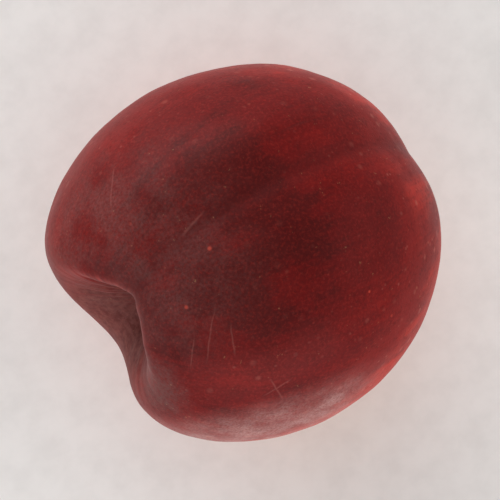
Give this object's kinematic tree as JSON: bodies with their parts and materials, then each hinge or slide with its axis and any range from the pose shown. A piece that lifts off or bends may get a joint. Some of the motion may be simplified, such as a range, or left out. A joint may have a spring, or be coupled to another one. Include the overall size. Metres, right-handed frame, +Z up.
{
  "type": "nectarine",
  "caption": "Whole nectarine: a rounded, smooth-skinned stone fruit with a stem cavity and a shallow suture, lying on a small flat spot.",
  "frame": {"origin": "on the surface the fruit rests on, under the middle of its box", "axes": "+Z up; +X towards the stem end, which is raised about 30 degrees from level; +Y across the cheeks, with the suture turned about 17 degrees off the top towards -Y"},
  "size_m": [0.0654, 0.0638, 0.0648],
  "materials": {
    "skin": "satin"
  },
  "bodies": {
    "root": {"nectarine": "skin"}
  },
  "joints": []
}
